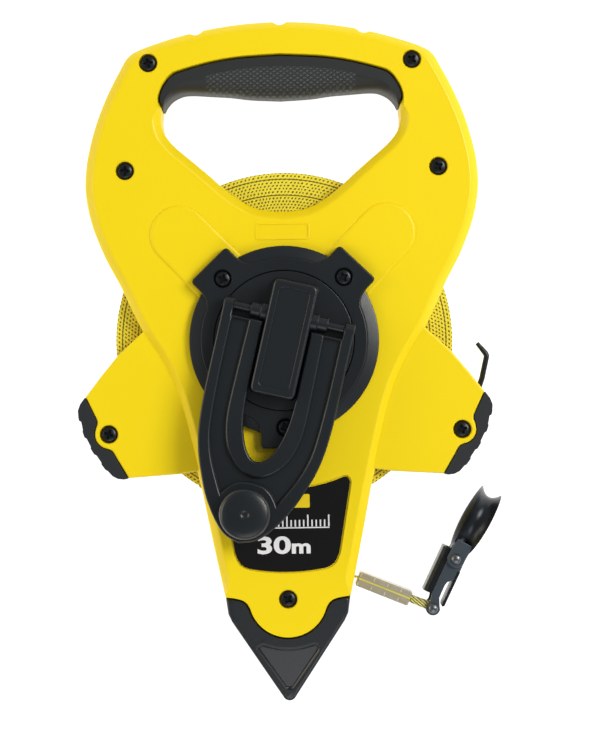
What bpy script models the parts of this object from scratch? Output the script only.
"""Surveyor's open tape reel: a two-part moulded frame with a hand opening, a wound tape on a
spool, a 3:1 planetary winding drive, a folding crank, a ground spike and a tape hook.

The reel lies on its back. The reel axis is +Z through the origin, Z = 0 is the rear face, and
+Y points to the handle. Every size below is in millimetres; place() turns them into metres.
"""

import math

import bmesh
import bpy
from mathutils import Matrix, Vector

MM = 0.001

# Fits
GAP = 0.3  # between two pieces that meet
RUNNING_GAP = 0.3  # round a shaft that turns

# Frame
CASE_DEPTH = 32.0  # front face to rear face of the beam
SHELL_WALL = 2.6
EDGE_CHAMFER = 3.5
LUG_DROP = 2.5  # the side lugs' faces lie this far below the beam's
HANDLE_TOP = 141.5  # axis to the top of the crown
CROWN_R = 175.0
SHOULDER_HALF = 87.3  # half width at the widest point of the frame
SHOULDER_Y = 69.0
NECK_HALF = 27.8  # half width where the spike begins
NECK_END = 113.5  # axis to the spike joint
TONGUE_R = 17.7  # round tongue that carries the spike screw
HOLE_FLOOR = 57.1  # axis to the bottom of the hand opening
HOLE_HALF = 52.7  # half width of the hand opening
GRIP_UPPER = 14.7  # crown to the grip's upper edge
GRIP_LOWER = 33.7  # crown to the grip's lower edge
GRIP_END = 38.1  # crown to the grip's ends
GRIP_INSET = 1.2  # grip below the faces of the beam
GRIP_CHAMFER = 2.0
PAD_CHAMFER = 1.0
GRIP_TONGUE = (26.0, 4.0)  # half length and half depth of the rib that locks the grip
RELIEF = 0.8  # height of the raised strips on the front face
STRIP_HALF = 13.0
STRIP_REACH = 79.0
STRIP_ANGLE = 44.0

# Lugs
LUG_TOP = (73.7, -5.3)
LUG_TIP = (88.4, -23.6)
LUG_FOOT = (69.8, -59.9)
LUG_HEEL = (47.7, -58.5)
PAD_REACH = 3.5  # how far the rubber stands out past the lug's tip

# Spike
SPIKE_LENGTH = 47.0  # spike joint to the point
SPIKE_TIP_R = 3.0
SPIKE_TIP_DEPTH = 12.0
SPIKE_INSET = 1.0  # below the faces of the beam
TANG_HALF = 9.2
TANG_DEPTH = 8.0

# Label
LABEL_HALF = 28.6
LABEL_TOP_R = 65.7
LABEL_FOOT = -102.5
LABEL_FOOT_R = 90.0
LABEL_THICKNESS = 0.5

# Tape and spool
TAPE_WIDTH = 13.0
TAPE_THICKNESS = 0.45
ROLL_R = 74.9
CORE_R = 34.5
CORE_WALL = 2.6
ROLL_GAP = 1.5  # rim of the roll to the slot it turns in
SIDE_GAP = 0.9  # sides of the roll to the same slot
AXLE_R = 4.0
BEARING_R = 9.0
DRIVE_HEX_R = 7.6  # six-sided shank that joins the sun gear to the spool
SOCKET_R = 11.0

# Planetary drive: fixed ring, crank on the carrier, spool on the sun
MODULE = 1.25
SUN_TEETH = 24
PLANET_TEETH = 12
RING_TEETH = SUN_TEETH + 2 * PLANET_TEETH
PLANETS = 3
PRESSURE_ANGLE = 25.0
ADDENDUM = 0.9  # in modules
DEDENDUM = 1.15
BACKLASH = 0.13  # taken off each flank
GEAR_WIDTH = 6.3
RING_RIM = 4.0  # ring gear's tooth root to its outside
RING_LIP = 2.4  # shelf that the ring gear sits on, and the wall round it
PLANET_PIN_R = 1.9

# Gear cover and crank hub
COVER_R = 41.9
COVER_HEIGHT = 4.7
COVER_LUG_R = 47.5
COVER_LUG_HALF = 11.0
COVER_LIP = 2.0
HUB_R = 30.7
HUB_CAP = 1.6  # solid top of the hub
BAR_LENGTH = 51.0
BAR_HALF = 9.9
BAR_SHIFT = -0.5  # centre of the bar along the crank
BAR_HEIGHT = 10.7
CRANK_ANGLE = -103.5  # the way the crank points at rest, from +X

# Crank arm, along u from the axis and v across it
HINGE_U = -10.5
HINGE_RISE = 4.5  # hub face to the hinge axis
HINGE_ROD_R = 1.9
KNUCKLE_R = 3.4
KNUCKLE_REACH = 17.4
ARM_THICKNESS = 6.4
ARM_HALF = 29.4
ARM_TIP = 91.1
ARM_SLOT_HALF = 10.9
ARM_SLOT_END = 54.7
ARM_RIB = 4.7
ARM_INNER_RIB = 5.3
ARM_POCKET = 1.3
ARM_WEB_START = -6.0
KNOB_U = 76.9
KNOB_R = 11.0
KNOB_HEIGHT = 25.0
SPINDLE_R = 3.0

# Screws
SCREW_HEAD_R = 3.7
SCREW_HEAD_HEIGHT = 2.4
SCREW_R = 1.5
SCREW_SINK = 0.7  # head below the face round it
BOSS_R = 6.2
PILOT_WALL = 3.2  # plastic left below a screw's hole
GUIDE_WALL = 3.0  # plastic left below a pin's hole
COVER_BOSS_R = 4.0
COVER_SCREW_R = 38.4
COVER_SCREW_END = 26.0  # height of the cover screws' points

# Tape hook
HOOK_PIN = (64.4, -120.1)  # tape loop to link
HOOK_LINK_LENGTH = 24.3
HOOK_LINK_ANGLE = 64.4
HOOK_LINK_WIDTH = 10.4
HOOK_PLATE = 1.2
RIVET_R = 1.5
RIVET_HEAD_R = 2.3
FINGER_RING_R = 15.8
FINGER_RING_WIDTH = 10.8
FINGER_RING_WALL = 1.2
FINGER_RING_GROOVE = 2.6
FINGER_RING_ANGLE = 60.0
FINGER_RING_ARM = 18.6  # link rivet to the ring's centre
SLEEVE_THICKNESS = 6.7
SLEEVE_LENGTH = 25.0
SLEEVE_TO_PIN = 10.9
LOOP_THICKNESS = 3.0
LOOP_EYE_R = 2.7
LINK_INSIDE = 14.8  # between the link's two plates
LINK_LEFT = 6.3  # outside of the link's back, from the line between its rivets
CLAW_END = 2.6
EAR_HALF = 3.9
EAR_REACH = 10.5
TAPE_EXIT_ANGLE = -22.5
MOUTH_TO_PIN = 38.6
MOUTH_LENGTH = 15.0
MOUTH_DEPTH = 5.4
GUIDE_R = 2.4
GUIDE_BACK = 9.0  # guide pin behind the bend
WIRE_R = 1.25

# Worked out from the sizes above
MID = CASE_DEPTH / 2
FRONT = CASE_DEPTH
SLOT_R = ROLL_R + ROLL_GAP
SLOT_HALF = TAPE_WIDTH / 2 + SIDE_GAP
PLATE_IN = CASE_DEPTH - SHELL_WALL
SUN_R = MODULE * SUN_TEETH / 2
PLANET_R = MODULE * PLANET_TEETH / 2
RING_R = MODULE * RING_TEETH / 2
PIN_CIRCLE = SUN_R + PLANET_R
RING_OUTER = RING_R + DEDENDUM * MODULE + RING_RIM
GEAR_TOP = FRONT - 0.7
GEAR_LOW = GEAR_TOP - GEAR_WIDTH
RING_LOW = GEAR_LOW - 0.1
RING_TOP = FRONT - 0.1
LIP_LOW = RING_LOW - GAP - 0.6
COVER_LOW = FRONT + GAP
COVER_TOP = COVER_LOW + COVER_HEIGHT
HUB_LOW = COVER_LOW + GAP
HUB_TOP = COVER_TOP
HUB_FLANGE_R = HUB_R + COVER_LIP + 0.3
BAR_LOW = HUB_TOP + GAP
HINGE_Z = HUB_TOP + HINGE_RISE
ARM_TOP = HINGE_Z + ARM_THICKNESS / 2
ARM_LOW = HINGE_Z - ARM_THICKNESS / 2

CASE_SCREWS = {
    "case_screw_1": (-58.4, HANDLE_TOP - 17.7, FRONT),
    "case_screw_2": (58.4, HANDLE_TOP - 17.7, FRONT),
    "case_screw_3": (-(SHOULDER_HALF - 17.9), SHOULDER_Y + 7.2, FRONT),
    "case_screw_4": (SHOULDER_HALF - 17.9, SHOULDER_Y + 7.2, FRONT),
    "case_screw_5": (-(LUG_TIP[0] - 10.0), LUG_TIP[1] - 16.8, FRONT - LUG_DROP),
    "case_screw_6": (LUG_TIP[0] - 10.0, LUG_TIP[1] - 16.8, FRONT - LUG_DROP),
    "case_screw_7": (0.0, -NECK_END - 1.0, FRONT),
}
COVER_LUG_ANGLES = (90 - STRIP_ANGLE, 90 + STRIP_ANGLE, 270)


# Outlines are lists of (x, y), counter-clockwise.


def arc(centre, radius, start, end, steps):
    """Points along an arc, angles in degrees, both ends included."""
    angles = [math.radians(start + (end - start) * i / steps) for i in range(steps + 1)]
    return [
        (centre[0] + radius * math.cos(a), centre[1] + radius * math.sin(a)) for a in angles
    ]


def curve(points, steps):
    """A smooth line through the points, with this many steps between each two."""
    line = []
    for i in range(len(points) - 1):
        before = Vector(points[max(i - 1, 0)])
        start, end = Vector(points[i]), Vector(points[i + 1])
        after = Vector(points[min(i + 2, len(points) - 1)])
        leave, arrive = (end - before) / 2, (after - start) / 2
        for k in range(steps):
            t = k / steps
            line.append(
                tuple(
                    start * (2 * t**3 - 3 * t**2 + 1)
                    + leave * (t**3 - 2 * t**2 + t)
                    + end * (3 * t**2 - 2 * t**3)
                    + arrive * (t**3 - t**2)
                )
            )
    return [*line, tuple(points[-1])]


def both_sides(right):
    """A right half that runs from the bottom of the centre line to its top, closed on the left."""
    left = [(-x, y) for x, y in reversed(right) if x > 1e-6]
    return right + left


def mirrored(outline):
    return [(-x, y) for x, y in reversed(outline)]


def offset(outline, distance):
    """The outline moved outwards by distance, or inwards when it is negative."""
    moved = []
    count = len(outline)
    for i, here in enumerate(outline):
        here = Vector(here)
        arriving = (here - Vector(outline[i - 1])).normalized()
        leaving = (Vector(outline[(i + 1) % count]) - here).normalized()
        sides = [Vector((way.y, -way.x)) for way in (arriving, leaving)]
        mitre = sides[0] + sides[1]
        moved.append(tuple(here + mitre * (2 * distance / max(mitre.length_squared, 0.6))))
    return moved


def rectangle(low, high):
    return [(low[0], low[1]), (high[0], low[1]), (high[0], high[1]), (low[0], high[1])]


def rounded(corners, radius, steps=3):
    """A convex or concave outline with each corner cut by a curve of about this radius."""
    points = []
    for i, corner in enumerate(corners):
        corner = Vector(corner)
        before = (Vector(corners[i - 1]) - corner).normalized() * radius
        after = (Vector(corners[(i + 1) % len(corners)]) - corner).normalized() * radius
        for k in range(steps + 1):
            t = k / steps
            points.append(tuple(corner + before * (1 - t) ** 2 + after * t**2))
    return points


def crown_y(x):
    return HANDLE_TOP - CROWN_R + math.sqrt(CROWN_R**2 - x**2)


def beam_right():
    """Right half of the beam, from the tip of the spike tongue up to the crown."""
    tongue = arc((0, -NECK_END - 0.5), TONGUE_R, -90, -12, 7)
    side = curve(
        [
            (NECK_HALF, -NECK_END),
            (NECK_HALF + 5.9, -85.0),
            (NECK_HALF + 11.2, -59.5),
            (42.9, -42.0),
            (47.6, -24.3),
            (54.0, -9.5),
            (63.4, 6.3),
            (71.6, 24.0),
            (SHOULDER_HALF - 8.3, SHOULDER_Y - 31.0),
            (SHOULDER_HALF - 2.5, SHOULDER_Y - 15.0),
            (SHOULDER_HALF, SHOULDER_Y),
            (SHOULDER_HALF - 1.2, SHOULDER_Y + 12.5),
            (SHOULDER_HALF - 6.3, HANDLE_TOP - 40.0),
            (SHOULDER_HALF - 16.4, HANDLE_TOP - 19.0),
        ],
        2,
    )
    corner_x = SHOULDER_HALF - 20.5
    corner = [(corner_x + 1.3, crown_y(corner_x) - 1.9), (corner_x - 2.0, crown_y(corner_x - 2.0))]
    steps = 9
    crown = [(x, crown_y(x)) for x in (corner_x * (1 - i / steps) for i in range(1, steps + 1))]
    return tongue + side + corner + crown


def hole_right():
    """Right half of the opening in the yellow frame, grip included, from its floor to its top."""
    end_y = HANDLE_TOP - GRIP_END
    span = end_y - HOLE_FLOOR
    top = HANDLE_TOP - GRIP_UPPER
    return (
        curve(
            [
                (0.0, HOLE_FLOOR),
                (HOLE_HALF * 0.207, HOLE_FLOOR + span * 0.033),
                (HOLE_HALF * 0.357, HOLE_FLOOR + span * 0.121),
                (HOLE_HALF * 0.617, HOLE_FLOOR + span * 0.365),
                (HOLE_HALF * 0.882, HOLE_FLOOR + span * 0.624),
                (HOLE_HALF * 0.977, HOLE_FLOOR + span * 0.754),
                (HOLE_HALF * 1.0, end_y - span * 0.06),
            ],
            2,
        )
        + [(HOLE_HALF + 1.5, end_y + 4.2), (HOLE_HALF + 0.4, end_y + 8.6)]
        + curve(
            [
                (HOLE_HALF - 4.0, top - 8.5),
                (HOLE_HALF - 8.7, top - 6.5),
                (HOLE_HALF * 0.588, top - 3.1),
                (HOLE_HALF * 0.338, top - 1.2),
                (0.0, top),
            ],
            2,
        )
    )


def grip_right():
    """Right half of the grip, from the middle of its lower edge to its upper edge."""
    end_y = HANDLE_TOP - GRIP_END
    low = HANDLE_TOP - GRIP_LOWER
    top = HANDLE_TOP - GRIP_UPPER - GAP
    reach = HOLE_HALF - GAP
    return (
        curve(
            [
                (0.0, low),
                (reach * 0.25, low + 0.7),
                (reach * 0.5, low + 2.3),
                (reach * 0.76, low + 3.3),
                (reach * 0.85, low + 2.7),
                (reach * 0.93, low + 0.3),
                (reach - 0.4, end_y + 0.8),
            ],
            2,
        )
        + [(reach + 1.4, end_y + 4.2), (reach + 0.3, end_y + 8.4)]
        + curve(
            [
                (reach - 4.0, top - 8.4),
                (reach - 8.6, top - 6.4),
                (reach * 0.588, top - 3.1),
                (reach * 0.338, top - 1.2),
                (0.0, top),
            ],
            2,
        )
    )


def lug_inner_edge():
    """Where the rubber meets the right lug, from the foot up to the tip, round the screw boss."""
    screw = CASE_SCREWS["case_screw_6"]
    return [LUG_FOOT, *arc(screw[:2], BOSS_R + 0.4, -75, 25, 5), LUG_TIP]


def lug_outline():
    """The yellow part of the right lug, reaching into the beam."""
    return [
        (30.0, LUG_HEEL[1] + 1.6),
        (39.5, LUG_HEEL[1] + 1.1),
        LUG_HEEL,
        *lug_inner_edge(),
        LUG_TOP,
        (62.2, 5.3),
        (48.0, 2.0),
        (30.0, -20.0),
    ]


def pad_outline():
    """The rubber corner of the right lug."""
    inner = [(x + GAP * 0.87, y - GAP * 0.5) for x, y in reversed(lug_inner_edge())]
    tip, foot = inner[0], inner[-1]
    outer = curve(
        [
            (foot[0] + 3.1, foot[1] - 0.2),
            (foot[0] + 6.7, foot[1] + 1.0),
            (foot[0] + 9.9, foot[1] + 4.5),
            (tip[0] - 3.5, tip[1] - 22.8),
            (tip[0] + 0.6, tip[1] - 15.8),
            (tip[0] + PAD_REACH - 0.5, tip[1] - 10.3),
            (tip[0] + PAD_REACH, tip[1] - 5.9),
        ],
        1,
    )
    return inner + outer


# Solids


def slab(outline, low, high, chamfer_top=0.0, chamfer_low=0.0):
    """A prism, whose top or bottom edge may be cut back by a chamfer."""
    bm = bmesh.new()
    face = bm.faces.new([bm.verts.new((x, y, low + chamfer_low)) for x, y in outline])
    sides = bmesh.ops.extrude_face_region(bm, geom=[face])
    top = [v for v in sides["geom"] if isinstance(v, bmesh.types.BMVert)]
    bmesh.ops.translate(bm, verts=top, vec=(0, 0, high - low - chamfer_low - chamfer_top))
    bmesh.ops.recalc_face_normals(bm, faces=bm.faces)
    bm.normal_update()
    for up, chamfer in ((1, chamfer_top), (-1, chamfer_low)):
        if chamfer:
            ends = [f for f in bm.faces if f.normal.z * up > 0.99]
            bmesh.ops.inset_region(
                bm, faces=ends, thickness=chamfer, depth=chamfer, use_even_offset=True
            )
    return bm


def turned(profile, segments, centre=(0.0, 0.0)):
    """A closed (radius, z) profile turned a full circle about a vertical axis."""
    bm = bmesh.new()
    verts = [bm.verts.new((r, 0, z)) for r, z in profile]
    edges = [bm.edges.new(pair) for pair in zip(verts, verts[1:])]
    if profile[0][0] > 0 or profile[-1][0] > 0:
        edges.append(bm.edges.new((verts[-1], verts[0])))
    bmesh.ops.spin(
        bm,
        geom=verts + edges,
        cent=(0, 0, 0),
        axis=(0, 0, 1),
        angle=math.tau,
        steps=segments,
        use_merge=True,
    )
    bmesh.ops.remove_doubles(bm, verts=bm.verts, dist=1e-4)
    bmesh.ops.recalc_face_normals(bm, faces=bm.faces)
    bmesh.ops.translate(bm, verts=bm.verts, vec=(*centre, 0))
    return bm


def rod(start, end, radius, segments=12):
    """A straight round bar between two points."""
    start, end = Vector(start), Vector(end)
    bm = bmesh.new()
    turn = (end - start).to_track_quat("Z", "Y").to_matrix().to_4x4()
    bmesh.ops.create_cone(
        bm,
        cap_ends=True,
        segments=segments,
        radius1=radius,
        radius2=radius,
        depth=(end - start).length,
        matrix=Matrix.Translation((start + end) / 2) @ turn,
    )
    return bm


def block(low, high):
    return slab(rectangle(low[:2], high[:2]), low[2], high[2])


def gathered(*shapes):
    """Several shapes that don't touch, in one mesh."""
    whole = bmesh.new()
    for bm in shapes:
        mesh = bpy.data.meshes.new("piece")
        bm.to_mesh(mesh)
        bm.free()
        whole.from_mesh(mesh)
        bpy.data.meshes.remove(mesh)
    return whole


def turn_shape(bm, degrees, centre=(0, 0, 0), axis="Z"):
    matrix = Matrix.Rotation(math.radians(degrees), 3, axis)
    bmesh.ops.rotate(bm, verts=bm.verts, cent=centre, matrix=matrix)
    return bm


def material(name, colour, roughness, metallic=0.0):
    found = bpy.data.materials.get(name)
    if found:
        return found
    made = bpy.data.materials.new(name)
    made.use_nodes = True
    shader = made.node_tree.nodes["Principled BSDF"]
    shader.inputs["Base Color"].default_value = (*colour, 1.0)
    shader.inputs["Roughness"].default_value = roughness
    shader.inputs["Metallic"].default_value = metallic
    made.diffuse_color = (*colour, 1.0)
    return made


YELLOW = ("moulded yellow", (0.93, 0.73, 0.012), 0.42)
CHARCOAL = ("moulded charcoal", (0.020, 0.026, 0.032), 0.45)
SOFT_BLACK = ("soft black rubber", (0.016, 0.019, 0.022), 0.62)
ZINC = ("blackened steel", (0.03, 0.035, 0.04), 0.32, 0.9)
STEEL = ("bright steel", (0.6, 0.6, 0.6), 0.3, 1.0)
NYLON = ("white nylon", (0.8, 0.79, 0.74), 0.5)
TAPE = ("coated tape", (0.80, 0.72, 0.05), 0.5)
CLEAR = ("clear sleeve", (0.42, 0.38, 0.29), 0.25)
PRINT = ("printed label", (0.012, 0.012, 0.013), 0.3)


def place(name, bm, finish, origin=(0, 0, 0), parent=None):
    """Makes the object, with its origin at the given point of the frame it was drawn in."""
    bmesh.ops.translate(bm, verts=bm.verts, vec=[-c for c in origin])
    bmesh.ops.scale(bm, verts=bm.verts, vec=(MM, MM, MM))
    mesh = bpy.data.meshes.new(name)
    bm.to_mesh(mesh)
    bm.free()
    mesh.shade_smooth()
    mesh.set_sharp_from_angle(angle=math.radians(35))
    if finish:
        mesh.materials.append(material(*finish))
    made = bpy.data.objects.new(name, mesh)
    made.location = [c * MM for c in origin]
    made.parent = parent
    bpy.context.scene.collection.objects.link(made)
    return made


def shape_with(target, operation, name, bm, parent=None):
    """Cuts the shape from the target, or joins it on, with a Boolean modifier."""
    tool = place(name, bm, None, parent=parent)
    tool.hide_render = True
    tool.display_type = "WIRE"
    modifier = target.modifiers.new(name, "BOOLEAN")
    modifier.operation = operation
    modifier.solver = "EXACT"
    modifier.object = tool


def cut(target, name, bm, parent=None):
    shape_with(target, "DIFFERENCE", name, bm, parent)


def join(target, name, bm, parent=None):
    shape_with(target, "UNION", name, bm, parent)


def axis_empty(name, location, degrees):
    made = bpy.data.objects.new(name, None)
    made.location = [c * MM for c in location]
    made.rotation_euler.z = math.radians(degrees)
    bpy.context.scene.collection.objects.link(made)
    return made


# Frame shells


def flipped(bm):
    """The shape turned over onto the rear half of the frame."""
    bmesh.ops.scale(bm, verts=bm.verts, vec=(1, 1, -1))
    bmesh.ops.translate(bm, verts=bm.verts, vec=(0, 0, CASE_DEPTH))
    bmesh.ops.reverse_faces(bm, faces=bm.faces)
    return bm


def post(centre, radius, low, high, segments=16):
    return turned([(0, low), (radius, low), (radius, high), (0, high)], segments, centre)


def heading(degrees):
    return Vector((math.cos(math.radians(degrees)), math.sin(math.radians(degrees))))


def tape_mouth():
    """Where the tape bends as it leaves the neck, on the straight line to the hook's pin."""
    return Vector(HOOK_PIN) - heading(TAPE_EXIT_ANGLE) * MOUTH_TO_PIN


def tape_leaves_roll():
    """The point where the tape leaves the roll, and the unit vector from there to the mouth."""
    mouth, radius = tape_mouth(), ROLL_R + GAP
    lean = math.asin(radius / mouth.length)
    way = heading(math.degrees(math.atan2(mouth.y, mouth.x) + lean))
    return mouth - way * math.sqrt(mouth.length**2 - radius**2), way


def guide_centre():
    """Centre of the guide pin, on the inner side of the tape's bend at the mouth."""
    way = tape_leaves_roll()[1]
    side = Vector((-way.y, way.x))
    return tape_mouth() - way * GUIDE_BACK + side * (GUIDE_R + TAPE_THICKNESS / 2 + GAP)


def mouth_cutter():
    """The opening in the neck's right wall that the tape runs out of."""
    half = Vector((MOUTH_LENGTH, MOUTH_DEPTH)) / 2
    bm = slab(rectangle(-half, half), MID - SLOT_HALF, MID + SLOT_HALF)
    turn_shape(bm, TAPE_EXIT_ANGLE)
    bmesh.ops.translate(bm, verts=bm.verts, vec=(*tape_mouth(), 0))
    return bm


def grip_tongue(spare):
    """The rib on the grip's back that the two shells close on."""
    half_length, half_depth = GRIP_TONGUE
    top = HANDLE_TOP - GRIP_UPPER
    return block(
        (-half_length - spare, top - 8, MID - half_depth - spare),
        (half_length + spare, top + SHELL_WALL + 1.5 + spare, MID + half_depth + spare),
    )


def spike_tang(spare):
    """The flat tang of the spike, which reaches round the spike screw between the shells."""
    centre_y = -NECK_END - 1.0
    return block(
        (-TANG_HALF - spare, centre_y - TONGUE_R - 2, MID - TANG_DEPTH / 2 - spare),
        (TANG_HALF + spare, centre_y + BOSS_R + 5.0 + spare, MID + TANG_DEPTH / 2 + spare),
    )


def wire_path():
    """The bent wire on the right lug, from inside the lug to its free tip."""
    x, y = LUG_TIP
    steps = [(-5.9, -5.9), (-0.8, 4.0), (2.1, 14.0), (2.1, 16.4), (-1.9, 21.2)]
    return [(x + dx, y + dy) for dx, dy in steps]


def label_outline():
    """The label on the neck: an arc round the hub on top, drawn in towards the spike."""
    right = [
        *arc((0, LABEL_FOOT + LABEL_FOOT_R), LABEL_FOOT_R, -90, -79.5, 3),
        (LABEL_HALF * 0.70, LABEL_FOOT + 3.2),
        (LABEL_HALF * 0.77, LABEL_FOOT + 6.2),
        (LABEL_HALF * 0.985, -math.sqrt(LABEL_TOP_R**2 - LABEL_HALF**2) - 2.6),
        (LABEL_HALF, -math.sqrt(LABEL_TOP_R**2 - LABEL_HALF**2) - 0.6),
    ]
    edge = math.degrees(math.asin((LABEL_HALF - 1.2) / LABEL_TOP_R))
    return both_sides(right + arc((0, 0), LABEL_TOP_R, -90 + edge, -90, 4)[:-1] + [(0, -LABEL_TOP_R)])


def strip_outline(angle):
    """A raised strip that carries on from an upper lug of the gear cover."""
    end = arc((STRIP_REACH - STRIP_HALF, 0), STRIP_HALF, -90, 90, 10)
    points = [(COVER_LUG_R + GAP, STRIP_HALF), (COVER_LUG_R + GAP, -STRIP_HALF), *end]
    along, across = heading(angle), heading(angle + 90)
    return [tuple(along * u + across * v) for u, v in points]


def cover_screw_centre(angle):
    return heading(angle) * COVER_SCREW_R


def hollow_of(name, side, beam, hole, lugs, seam):
    """The space inside a shell: what is left between the walls, the bosses and the gear wall."""
    low, lug_face = seam - 1, FRONT - LUG_DROP
    hollow = place(f"{name}_hollow", side(slab(offset(beam, -SHELL_WALL), low, PLATE_IN)), None)
    hollow.hide_render, hollow.display_type = True, "WIRE"
    for label, outline in lugs:
        inner = slab(offset(outline, -SHELL_WALL), low, lug_face - SHELL_WALL)
        join(hollow, f"{name}_{label}_lug_hollow", side(inner))
    cut(hollow, f"{name}_hole_wall", side(slab(offset(hole, SHELL_WALL), low - 1, FRONT + 1)))
    bosses = [post((x, y), BOSS_R, low - 1, face, 14) for x, y, face in CASE_SCREWS.values()]
    bosses.append(post(guide_centre(), GUIDE_R + 2, FRONT - 6.5, FRONT, 12))
    cut(hollow, f"{name}_bosses", side(gathered(*bosses)))
    return hollow


def shell(name, is_front):
    """One half of the frame, drawn as the front half, with its outer face at FRONT."""
    side = (lambda bm: bm) if is_front else flipped
    seam, lug_face = MID + GAP / 2, FRONT - LUG_DROP
    beam, hole = both_sides(beam_right()), both_sides(hole_right())
    lugs = (("right", lug_outline()), ("left", mirrored(lug_outline())))
    body = place(name, side(slab(beam, seam, FRONT, chamfer_top=EDGE_CHAMFER)), YELLOW)
    for label, outline in lugs:
        join(body, f"{name}_{label}_lug", side(slab(outline, seam, lug_face, chamfer_top=1.6)))
    hollow = hollow_of(name, side, beam, hole, lugs, seam)
    ring_seat = RING_OUTER + GAP
    if is_front:
        low, high = ring_seat - RING_LIP, ring_seat + RING_LIP
        profile = [(low, LIP_LOW), (high, LIP_LOW), (high, FRONT), (low, FRONT)]
        cut(hollow, f"{name}_gear_wall", turned(profile, 48))
        bosses = [post(cover_screw_centre(a), COVER_BOSS_R, LIP_LOW, FRONT, 12) for a in COVER_LUG_ANGLES]
        cut(hollow, f"{name}_cover_bosses", gathered(*bosses))
        for i, angle in enumerate(COVER_LUG_ANGLES[:2]):
            strip = slab(strip_outline(angle), FRONT - 1, FRONT + RELIEF, chamfer_top=0.5)
            join(body, f"{name}_strip_{i}", strip)
    else:
        cut(hollow, f"{name}_axle_boss", side(post((0, 0), BEARING_R, MID + SLOT_HALF + GAP, FRONT, 24)))
    modifier = body.modifiers.new("hollow", "BOOLEAN")
    modifier.operation, modifier.solver, modifier.object = "DIFFERENCE", "EXACT", hollow

    cut(body, f"{name}_hole", side(slab(hole, seam - 3, FRONT + 2)))
    cut(body, f"{name}_tape_slot", side(post((0, 0), SLOT_R, seam - 3, MID + SLOT_HALF, 60)))
    cut(body, f"{name}_mouth", mouth_cutter())
    cut(body, f"{name}_grip_slot", grip_tongue(GAP))
    cut(body, f"{name}_tang_slot", spike_tang(GAP))
    wire = wire_path()
    past = Vector(wire[1]) * 1.1 - Vector(wire[0]) * 0.1
    wire_hole = rod((*wire[0], MID), (*past, MID), WIRE_R + GAP, 10)
    cut(body, f"{name}_wire_hole", wire_hole)
    screws = []
    for x, y, face in CASE_SCREWS.values():
        if is_front:
            shelf = face - SCREW_SINK - SCREW_HEAD_HEIGHT - GAP
            wide, narrow = SCREW_HEAD_R + 0.4, SCREW_R + GAP
            shank = [(0, seam - 2), (narrow, seam - 2), (narrow, shelf)]
            profile = [*shank, (wide, shelf), (wide, FRONT + 2), (0, FRONT + 2)]
            screws.append(turned(profile, 14, (x, y)))
        else:
            screws.append(post((x, y), SCREW_R + GAP, seam - 2, face - PILOT_WALL, 12))
    cut(body, f"{name}_screw_holes", side(gathered(*screws)))
    guide = post(guide_centre(), GUIDE_R + GAP, seam - 1, FRONT - GUIDE_WALL, 12)
    cut(body, f"{name}_guide_hole", side(guide))
    if is_front:
        shelf = RING_LOW - GAP
        inside = [(0, seam - 3), (ring_seat - RING_LIP, seam - 3), (ring_seat - RING_LIP, shelf)]
        seat = [*inside, (ring_seat, shelf), (ring_seat, FRONT + 3), (0, FRONT + 3)]
        cut(body, f"{name}_gear_seat", turned(seat, 48))
        holes = [
            post(cover_screw_centre(angle), SCREW_R + GAP, COVER_SCREW_END - 1, FRONT + 1, 12)
            for angle in COVER_LUG_ANGLES
        ]
        cut(body, f"{name}_cover_screw_holes", gathered(*holes))
        recess = slab(offset(label_outline(), GAP), FRONT - LABEL_THICKNESS - GAP, FRONT + 2)
        cut(body, f"{name}_label_recess", recess)
    else:
        cut(body, f"{name}_axle_hole", side(post((0, 0), AXLE_R + GAP, seam - 3, FRONT - GUIDE_WALL, 20)))
    return body


def build_grip_and_pads():
    low, high = GRIP_INSET, CASE_DEPTH - GRIP_INSET
    grip = place(
        "handle_grip",
        slab(both_sides(grip_right()), low, high, GRIP_CHAMFER, GRIP_CHAMFER),
        SOFT_BLACK,
    )
    join(grip, "grip_tongue", grip_tongue(0))
    right = pad_outline()
    for name, outline in (("right_lug_pad", right), ("left_lug_pad", mirrored(right))):
        pad = slab(outline, LUG_DROP, CASE_DEPTH - LUG_DROP, PAD_CHAMFER, PAD_CHAMFER)
        place(name, pad, SOFT_BLACK)


def build_spike():
    """The spike, notched for the frame's tongue, and thinner towards its point."""
    shoulder = (NECK_HALF - 0.2, -NECK_END - 1.2 * GAP)
    notch = arc((0, -NECK_END - 0.5), TONGUE_R + GAP, -12, -168, 14)
    tip_y = -NECK_END - SPIKE_LENGTH
    left = [
        (-shoulder[0], shoulder[1]),
        (-NECK_HALF + 1.2, -NECK_END - 7.5),
        (-NECK_HALF + 2.8, -NECK_END - 10.5),
        *arc((0, tip_y + SPIKE_TIP_R), SPIKE_TIP_R, 212, 270, 3)[:-1],
    ]
    right = [(-x, y) for x, y in reversed(left)]
    outline = [shoulder, *notch, *left, (0, tip_y), *right[:-1]]
    bm = slab(outline, SPIKE_INSET, CASE_DEPTH - SPIKE_INSET, chamfer_top=2.0, chamfer_low=2.0)
    start_y = -NECK_END - TONGUE_R - 2
    for vert in bm.verts:
        along = max(0, (start_y - vert.co.y) / (start_y - tip_y))
        vert.co.z = MID + (vert.co.z - MID) * (1 - along * (1 - SPIKE_TIP_DEPTH / CASE_DEPTH))
    spike = place("ground_spike", bm, CHARCOAL)
    join(spike, "spike_tang", spike_tang(0))
    screw = CASE_SCREWS["case_screw_7"][:2]
    cut(spike, "spike_boss_hole", post(screw, BOSS_R + GAP, MID - TANG_DEPTH, MID + TANG_DEPTH, 14))


def build_label():
    place("label_plate", slab(label_outline(), FRONT - LABEL_THICKNESS, FRONT), PRINT)


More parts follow.
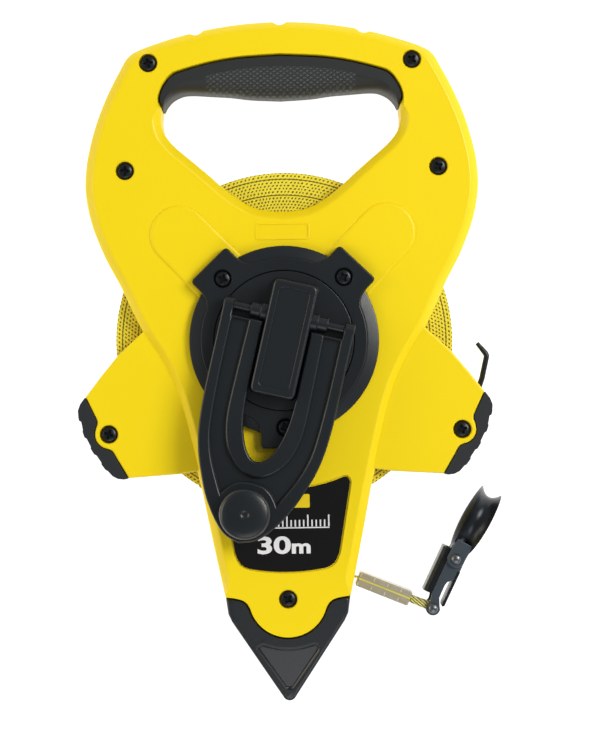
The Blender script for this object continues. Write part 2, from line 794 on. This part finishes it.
def screw(name, x, y, top, end):
    """A pan-head screw that points down, with its head's top at the given height."""
    head_low = top - SCREW_HEAD_HEIGHT
    profile = [
        (0, end),
        (SCREW_R * 0.5, end),
        (SCREW_R, end + 1.5),
        (SCREW_R, head_low),
        (SCREW_HEAD_R, head_low),
        (SCREW_HEAD_R, top - 1.0),
        (SCREW_HEAD_R * 0.7, top),
        (0, top),
    ]
    origin = (x, y, top)
    place(name, turned(profile, 10, (x, y)), ZINC, origin=origin)


def build_screws():
    for name, (x, y, face) in CASE_SCREWS.items():
        screw(name, x, y, face - SCREW_SINK, CASE_DEPTH - face + PILOT_WALL + 1.0)
    for i, angle in enumerate(COVER_LUG_ANGLES):
        x, y = cover_screw_centre(angle)
        screw(f"gear_cover_screw_{i + 1}", x, y, COVER_TOP - SCREW_SINK, COVER_SCREW_END)


# Spool


def hexagon(radius):
    return arc((0, 0), radius, 0, 300, 5)


def build_spool():
    bearing, half = AXLE_R + RUNNING_GAP, TAPE_WIDTH / 2 + 0.3
    rim_in, rim_out = CORE_R - GAP - CORE_WALL, CORE_R - GAP
    web = 1.5
    top = GEAR_LOW - GAP
    low = MID - SLOT_HALF
    profile = [
        (bearing, low), (BEARING_R, low), (BEARING_R, MID - web), (rim_in, MID - web), (rim_in, MID - half),
        (rim_out, MID - half), (rim_out, MID + half), (rim_in, MID + half), (rim_in, MID + web),
        (SOCKET_R, MID + web), (SOCKET_R, top), (bearing, top),
    ]
    core = place("spool_core", turned(profile, 28), NYLON)
    middle = (SOCKET_R + rim_in) / 2
    ways = [arc((0, 0), middle, a, a, 1)[0] for a in range(30, 390, 60)]
    holes = [post(way, (rim_in - SOCKET_R) / 2 - 2.5, MID - 5, MID + 5, 12) for way in ways]
    cut(core, "spool_holes", gathered(*holes))
    cut(core, "spool_hex_socket", slab(hexagon(DRIVE_HEX_R + GAP), MID + 1, top + 1))

    inner, outer = CORE_R, ROLL_R
    z_low, z_high = MID - TAPE_WIDTH / 2, MID + TAPE_WIDTH / 2
    roll = [(inner, z_low), (outer, z_low), (outer, z_high), (inner, z_high)]
    place("wound_tape", turned(roll, 60), TAPE)


# Gears


def involute(angle):
    return math.tan(angle) - angle


def flank(teeth, radius, internal):
    """Half the angle of a tooth at this radius; for the ring, of the metal between its spaces."""
    pitch = MODULE * teeth / 2
    pressure = math.radians(PRESSURE_ANGLE)
    here = math.acos(min(1.0, pitch * math.cos(pressure) / radius))
    half = math.pi / (2 * teeth) - BACKLASH / pitch
    change = involute(pressure) - involute(here)
    return half - change if internal else half + change


def gear_outline(teeth, low, high, phase, internal=False):
    """Teeth from radius low to radius high, with a tooth centred on the phase, in degrees."""
    base = MODULE * teeth / 2 * math.cos(math.radians(PRESSURE_ANGLE))
    radii = [max(low, base * 1.001) + (high - max(low, base * 1.001)) * i / 2 for i in range(3)]
    if low < radii[0] - 0.05:
        radii.insert(0, low)
    points = []
    for tooth in range(teeth):
        centre = math.radians(phase) + math.tau * tooth / teeth
        halves = [(r, flank(teeth, max(r, base * 1.001), internal)) for r in radii]
        ordered = halves[::-1] if internal else halves
        for r, half in ordered:
            points.append((r * math.cos(centre - half), r * math.sin(centre - half)))
        for r, half in reversed(ordered):
            points.append((r * math.cos(centre + half), r * math.sin(centre + half)))
    return points


def planet_centres():
    return [heading(90 + 360 / PLANETS * i) * PIN_CIRCLE for i in range(PLANETS)]


def build_gears():
    tip, root = ADDENDUM * MODULE, DEDENDUM * MODULE
    sun_outline = gear_outline(SUN_TEETH, SUN_R - root, SUN_R + tip, 0)
    sun = place("sun_gear", slab(sun_outline, GEAR_LOW, GEAR_TOP), NYLON)
    join(sun, "sun_shank", slab(hexagon(DRIVE_HEX_R), MID + 1 + GAP, GEAR_LOW + 1))
    cut(sun, "sun_bore", post((0, 0), AXLE_R + RUNNING_GAP, MID, GEAR_TOP + 1, 20))
    planet_phase = 180 / PLANET_TEETH
    for i, centre in enumerate(planet_centres()):
        outline = gear_outline(PLANET_TEETH, PLANET_R - root, PLANET_R + tip, planet_phase)
        outline = [(x + centre.x, y + centre.y) for x, y in outline]
        gear = place(f"planet_gear_{i + 1}", slab(outline, GEAR_LOW, GEAR_TOP), NYLON, origin=(*centre, 0))
        bore = post(centre, PLANET_PIN_R + RUNNING_GAP, GEAR_LOW - 1, GEAR_TOP + 1, 12)
        cut(gear, f"planet_bore_{i + 1}", bore)
    rim = arc((0, 0), RING_OUTER, 0, 360 - 360 / 48, 47)
    ring = place("ring_gear", slab(rim, RING_LOW, RING_TOP), CHARCOAL)
    teeth = gear_outline(RING_TEETH, RING_R - tip, RING_R + root, 0, internal=True)
    cut(ring, "ring_gear_space", slab(teeth, RING_LOW - 1, RING_TOP + 1))


def build_axle_and_guide():
    z_low = GUIDE_WALL + GAP
    axle = post((0, 0), AXLE_R, z_low, HUB_TOP - HUB_CAP - GAP, 20)
    place("reel_axle", axle, STEEL)
    guide = guide_centre()
    pin = post(guide, GUIDE_R, z_low, CASE_DEPTH - z_low, 12)
    place("tape_guide_pin", pin, STEEL, origin=(*guide, MID))


# Gear cover and crank hub


def build_gear_cover():
    rim = arc((0, 0), COVER_R, 0, 360 - 360 / 60, 59)
    cover = place("gear_cover", slab(rim, COVER_LOW, COVER_TOP, chamfer_top=0.8), CHARCOAL)
    for i, angle in enumerate(COVER_LUG_ANGLES):
        outline = rectangle((HUB_FLANGE_R, -COVER_LUG_HALF), (COVER_LUG_R, COVER_LUG_HALF))
        lug = slab(outline, COVER_LOW, COVER_TOP, chamfer_top=0.8)
        join(cover, f"cover_lug_{i + 1}", turn_shape(lug, angle))
    lip = COVER_TOP - COVER_LIP
    profile = [
        (0, COVER_LOW - 1), (HUB_FLANGE_R + GAP, COVER_LOW - 1), (HUB_FLANGE_R + GAP, lip),
        (HUB_R + GAP, lip), (HUB_R + GAP, COVER_TOP + 1), (0, COVER_TOP + 1),
    ]
    cut(cover, "cover_opening", turned(profile, 48))
    shelf = COVER_TOP - SCREW_SINK - SCREW_HEAD_HEIGHT - GAP
    wide, narrow = SCREW_HEAD_R + 0.3, SCREW_R + GAP
    holes = []
    for angle in COVER_LUG_ANGLES:
        shank = [(0, COVER_LOW - 1), (narrow, COVER_LOW - 1), (narrow, shelf)]
        profile = [*shank, (wide, shelf), (wide, COVER_TOP + 1), (0, COVER_TOP + 1)]
        holes.append(turned(profile, 14, cover_screw_centre(angle)))
    cut(cover, "cover_screw_holes", gathered(*holes))


def build_crank_hub(crank):
    """The planet carrier, its pins, and the bar on top that holds the crank's hinge."""
    lip = COVER_TOP - COVER_LIP - GAP
    profile = [
        (AXLE_R + RUNNING_GAP, HUB_LOW), (HUB_FLANGE_R, HUB_LOW), (HUB_FLANGE_R, lip), (HUB_R, lip),
        (HUB_R, HUB_TOP), (0, HUB_TOP), (0, HUB_TOP - HUB_CAP), (AXLE_R + RUNNING_GAP, HUB_TOP - HUB_CAP),
    ]
    hub = place("planet_carrier", turned(profile, 48), CHARCOAL, parent=crank)
    turned_back = Matrix.Rotation(-crank.rotation_euler.z, 2)
    centres = [turned_back @ centre for centre in planet_centres()]
    pin_top = HUB_TOP - HUB_CAP
    holes = [post(centre, PLANET_PIN_R + GAP, HUB_LOW - 1, pin_top + GAP, 12) for centre in centres]
    cut(hub, "carrier_pin_holes", gathered(*holes), crank)
    for i, centre in enumerate(centres):
        pin = post(centre, PLANET_PIN_R, GEAR_LOW, pin_top, 12)
        place(f"planet_pin_{i + 1}", pin, STEEL, parent=crank)

    start = BAR_SHIFT - BAR_LENGTH / 2
    corners = rounded(rectangle((start, -BAR_HALF), (start + BAR_LENGTH, BAR_HALF)), 2.2, 2)
    bar = slab(corners, BAR_LOW, BAR_LOW + BAR_HEIGHT, chamfer_top=1.0)
    bar = place("crank_bar", bar, CHARCOAL, parent=crank)
    for side in (-1, 1):
        inner, outer = side * (BAR_HALF - 1), side * KNUCKLE_REACH
        low, high = sorted((inner, outer))
        foot = block((HINGE_U - KNUCKLE_R, low, BAR_LOW), (HINGE_U + KNUCKLE_R, high, HINGE_Z))
        label = "left" if side < 0 else "right"
        join(bar, f"hinge_foot_{label}", foot, crank)
        knuckle = rod((HINGE_U, low, HINGE_Z), (HINGE_U, high, HINGE_Z), KNUCKLE_R, 14)
        join(bar, f"hinge_knuckle_{label}", knuckle, crank)
        blind = side * (BAR_HALF + 0.4)
        ends = [(HINGE_U, v, HINGE_Z) for v in (blind, side * (KNUCKLE_REACH + 1))]
        bore = rod(*ends, HINGE_ROD_R + RUNNING_GAP, 12)
        cut(bar, f"hinge_bore_{label}", bore, crank)


# Crank arm and knob


def arm_outline():
    """The crank arm seen from above: two legs that join beyond the slot."""
    inner_end = HINGE_U + KNUCKLE_R + 0.9
    rib_out = ARM_SLOT_HALF + ARM_INNER_RIB
    outer_rib_in = ARM_HALF - ARM_RIB
    outer = curve(
        [
            (30.0, ARM_HALF), (ARM_TIP - 38.4, ARM_HALF - 2.5), (ARM_TIP - 20.0, ARM_HALF - 9.2),
            (ARM_TIP - 6.7, 11.6), (ARM_TIP - 2.2, 6.6), (ARM_TIP, 0.0),
        ],
        2,
    )
    slot = curve(
        [
            (30.0, ARM_SLOT_HALF), (ARM_SLOT_END - 14.0, ARM_SLOT_HALF - 1.8),
            (ARM_SLOT_END - 5.0, ARM_SLOT_HALF - 4.9), (ARM_SLOT_END - 1.3, 3.2), (ARM_SLOT_END, 0.0),
        ],
        2,
    )
    left_leg = [
        (HINGE_U, ARM_HALF), (HINGE_U, outer_rib_in), (ARM_WEB_START, outer_rib_in),
        (ARM_WEB_START, rib_out), (inner_end, rib_out), (inner_end, ARM_SLOT_HALF),
    ]
    left = outer[::-1] + left_leg + slot[:-1]
    right = [(u, -v) for u, v in reversed(left[1:])]
    return left + [(ARM_SLOT_END, 0.0)] + right


def build_crank_arm(crank):
    hinge = (HINGE_U, 0, HINGE_Z)
    arm = slab(arm_outline(), ARM_LOW, ARM_TOP, chamfer_top=0.6)
    arm = place("crank_arm", arm, CHARCOAL, origin=hinge, parent=crank)
    outer_rib_in = ARM_HALF - ARM_RIB
    rib_out = ARM_SLOT_HALF + ARM_INNER_RIB
    for side, label in ((-1, "left"), (1, "right")):
        ends = [(HINGE_U, side * v, HINGE_Z) for v in (outer_rib_in, ARM_HALF)]
        eye = rod(*ends, ARM_THICKNESS / 2, 16)
        join(arm, f"arm_eye_{label}", eye, crank)
        ends = [(HINGE_U, side * v, HINGE_Z) for v in (BAR_HALF + 0.4 + GAP, ARM_HALF - 0.5)]
        hinge_rod = rod(*ends, HINGE_ROD_R, 12)
        join(arm, f"arm_rod_{label}", hinge_rod, crank)
        low, high = sorted((side * (rib_out + 0.6), side * (outer_rib_in - 0.6)))
        pocket = block((ARM_WEB_START - 1, low, ARM_TOP - ARM_POCKET), (40.0, high, ARM_TOP + 1))
        cut(arm, f"arm_pocket_{label}", pocket, crank)
    cut(arm, "arm_spindle_hole", post((KNOB_U, 0), SPINDLE_R + GAP, ARM_LOW - 1, ARM_TOP + 1, 16), crank)

    head_low, shank_top = ARM_LOW - 0.8, ARM_TOP + KNOB_HEIGHT - 6.0
    head_r, cap_r, neck = SPINDLE_R + 1.4, SPINDLE_R + 1.2, shank_top - 2.0
    profile = [
        (0, head_low), (head_r, head_low), (head_r, ARM_LOW - GAP), (SPINDLE_R, ARM_LOW - GAP),
        (SPINDLE_R, neck), (cap_r, neck), (cap_r, shank_top), (0, shank_top),
    ]
    spindle, centre = turned(profile, 16, (KNOB_U, 0)), (KNOB_U, 0, HINGE_Z)
    place("knob_spindle", spindle, STEEL, origin=centre, parent=crank)
    bore, head_bore = SPINDLE_R + RUNNING_GAP, cap_r + RUNNING_GAP
    base, top = ARM_TOP + GAP, ARM_TOP + KNOB_HEIGHT
    profile = [
        (bore, base), (KNOB_R - 2.6, base), (KNOB_R - 1.8, base + 1.0), (KNOB_R - 1.0, base + 8.0),
        (KNOB_R, top - 7.0), (KNOB_R, top - 3.5), (KNOB_R - 1.6, top - 1.2), (KNOB_R - 5.0, top - 0.1),
        (2.6, top), (1.2, top - 1.0), (0, top - 1.2), (0, shank_top + GAP), (head_bore, shank_top + GAP),
        (head_bore, neck - GAP), (bore, neck - GAP),
    ]
    place("crank_knob", turned(profile, 20, (KNOB_U, 0)), CHARCOAL, origin=centre, parent=crank)


# Tape end and hook


def band(line, thicknesses):
    """A strip on edge: the line with its own thickness at each point, as an outline."""
    right, left = [], []
    for i, (here, thickness) in enumerate(zip(line, thicknesses)):
        before, after = line[max(i - 1, 0)], line[min(i + 1, len(line) - 1)]
        way = (after - before).normalized()
        side = Vector((-way.y, way.x)) * thickness / 2
        left.append(tuple(here + side))
        right.append(tuple(here - side))
    return right + left[::-1]


def build_tape_end():
    start, way = tape_leaves_roll()
    exit_way, mouth, pin = heading(TAPE_EXIT_ANGLE), tape_mouth(), Vector(HOOK_PIN)
    bend = 3.0
    sleeve_low = pin - exit_way * (SLEEVE_TO_PIN + SLEEVE_LENGTH)
    sleeve_high = pin - exit_way * SLEEVE_TO_PIN
    line = [
        start, mouth - way * bend, mouth - (way - exit_way) * bend * 0.25, mouth + exit_way * bend,
        sleeve_high + exit_way * 0.3, sleeve_high + exit_way * 0.8, pin,
    ]
    thin, thick = TAPE_THICKNESS, LOOP_THICKNESS
    outline = band(line, [thin, thin, thin, thin, thin, thick, thick])
    low, high = MID - TAPE_WIDTH / 2, MID + TAPE_WIDTH / 2
    tape = place("tape_end", slab(outline, low, high), TAPE)
    join(tape, "tape_eye", post(pin, LOOP_EYE_R, low, high, 14))
    cut(tape, "tape_eye_bore", post(pin, RIVET_R + RUNNING_GAP, low - 1, high + 1, 12))
    half = SLEEVE_THICKNESS / 2
    sleeve = place(
        "tape_sleeve",
        slab(
            band([sleeve_low, sleeve_high], [2 * half, 2 * half]),
            low - 1, high + 1, chamfer_top=0.8, chamfer_low=0.8,
        ),
        CLEAR,
    )
    ends = [sleeve_low - exit_way, sleeve_high + exit_way]
    slit = TAPE_THICKNESS + 2 * GAP
    cut(sleeve, "sleeve_slit", slab(band(ends, [slit, slit]), low - GAP, high + GAP))


def in_frame(points, origin, angle):
    """Points given along and across a direction, put in the frame of the reel."""
    along, across = heading(angle), heading(angle + 90)
    return [tuple(Vector(origin) + along * s + across * t) for s, t in points]


def hook_end():
    return Vector(HOOK_PIN) + heading(HOOK_LINK_ANGLE) * HOOK_LINK_LENGTH


def rivet(name, centre, half, finish):
    """A rivet along Z, headed on both ends."""
    dome = RIVET_HEAD_R * 0.5
    profile = [
        (0, MID - half - dome), (RIVET_HEAD_R * 0.6, MID - half - dome * 0.75), (RIVET_HEAD_R, MID - half),
        (RIVET_R, MID - half), (RIVET_R, MID + half), (RIVET_HEAD_R, MID + half),
        (RIVET_HEAD_R * 0.6, MID + half + dome * 0.75), (0, MID + half + dome),
    ]
    place(name, turned(profile, 12, centre), finish, origin=(*centre, MID))


def build_hook():
    """A folded link with a claw on its side, on a rivet through the end of the tape."""
    inner, outer = LINK_INSIDE / 2, LINK_INSIDE / 2 + HOOK_PLATE
    length, left, right = HOOK_LINK_LENGTH, LINK_LEFT, LINK_LEFT - HOOK_LINK_WIDTH
    plate = [
        (6.0, -2.6), (10.5, -1.6), (13.0, right), (length + 3.2, right), (length + 3.2, left),
        (5.2, left), (4.6, 3.2), *arc((0, 0), 3.2, 90, 290, 8),
    ]
    outline = in_frame(plate, HOOK_PIN, HOOK_LINK_ANGLE)
    link = place("hook_link", slab(outline, MID + inner, MID + outer), ZINC, origin=(*HOOK_PIN, MID))
    join(link, "hook_rear_plate", slab(outline, MID - outer, MID - inner))
    back = rectangle((5.2, left - HOOK_PLATE), (length + 3.2, left))
    low, high = MID - inner - 0.4, MID + inner + 0.4
    join(link, "hook_back", slab(in_frame(back, HOOK_PIN, HOOK_LINK_ANGLE), low, high))
    claw = rectangle((CLAW_END, right), (length - 3.8, right + HOOK_PLATE))
    join(link, "hook_claw", slab(in_frame(claw, HOOK_PIN, HOOK_LINK_ANGLE), low, high))
    low, high = MID - outer - 1, MID + outer + 1
    holes = [post(c, RIVET_R + GAP, low, high, 12) for c in (Vector(HOOK_PIN), hook_end())]
    cut(link, "hook_rivet_holes", gathered(*holes))
    rivet("link_rivet", Vector(HOOK_PIN), outer + GAP, STEEL)
    rivet("ring_rivet", hook_end(), outer + GAP + HOOK_PLATE + GAP, STEEL)


def ring_half_width(angle):
    """The finger ring is widest at its sides and narrow where it joins the link."""
    near = 0.5 * (1 - math.cos(angle))
    side = math.sin(angle) ** 2
    return FINGER_RING_WIDTH / 2 * (0.86 - 0.14 * near + 0.14 * side + 0.07 * side * near)


def build_finger_ring():
    """A ring bent from a trough of sheet, with two ears round the link's end."""
    pin = hook_end()
    along, across = heading(FINGER_RING_ANGLE), heading(FINGER_RING_ANGLE + 90)
    centre = pin + along * FINGER_RING_ARM
    bm = bmesh.new()
    rows, columns = 28, 5
    loops = []
    for i in range(rows):
        angle = math.tau * i / rows
        half = ring_half_width(angle)
        section = []
        for wall in (0, 1):
            shares = [2 * k / (columns - 1) - 1 for k in range(columns)]
            for share in shares if wall == 0 else shares[::-1]:
                flare = FINGER_RING_GROOVE * share**2
                r = FINGER_RING_R - FINGER_RING_GROOVE + flare - (FINGER_RING_WALL if wall else 0)
                flat = centre + along * r * math.cos(angle) + across * half * share
                section.append(bm.verts.new((*flat, MID + r * math.sin(angle))))
        loops.append(section)
    for i in range(rows):
        here, after = loops[i], loops[(i + 1) % rows]
        for k in range(len(here)):
            n = (k + 1) % len(here)
            bm.faces.new((here[k], here[n], after[n], after[k]))
    bmesh.ops.recalc_face_normals(bm, faces=bm.faces)
    ring = place("finger_ring", bm, ZINC, origin=(*pin, MID))
    low = LINK_INSIDE / 2 + HOOK_PLATE + GAP
    ear = rounded(rectangle((-EAR_HALF, -EAR_HALF), (EAR_REACH, EAR_HALF)), 1.0, 1)
    ear = in_frame(ear, pin, FINGER_RING_ANGLE)
    join(ring, "ring_upper_ear", slab(ear, MID + low, MID + low + HOOK_PLATE))
    join(ring, "ring_lower_ear", slab(ear, MID - low - HOOK_PLATE, MID - low))
    cut(ring, "ring_rivet_hole", post(pin, RIVET_R + GAP, MID - low - 3, MID + low + 3, 12))


def build_wire():
    """The bent wire that the finger ring is hung on for storage."""
    path = curve(wire_path(), 3)
    data = bpy.data.curves.new("ring_stow_hook", "CURVE")
    data.dimensions = "3D"
    spline = data.splines.new("POLY")
    spline.points.add(len(path) - 1)
    for point, (x, y) in zip(spline.points, path):
        point.co = (x * MM, y * MM, MID * MM, 1)
    data.bevel_depth = WIRE_R * MM
    data.bevel_resolution = 2
    data.use_fill_caps = True
    data.materials.append(material(*ZINC))
    bpy.context.scene.collection.objects.link(bpy.data.objects.new("ring_stow_hook", data))


def clear_scene():
    for old in list(bpy.data.objects):
        bpy.data.objects.remove(old, do_unlink=True)


clear_scene()
shell("rear_shell", False)
shell("front_shell", True)
build_grip_and_pads()
build_spike()
build_label()
build_screws()
build_spool()
build_gears()
build_axle_and_guide()
build_gear_cover()
crank_axis = axis_empty("crank_axis", (0, 0, 0), CRANK_ANGLE)
build_crank_hub(crank_axis)
build_crank_arm(crank_axis)
build_tape_end()
build_hook()
build_finger_ring()
build_wire()
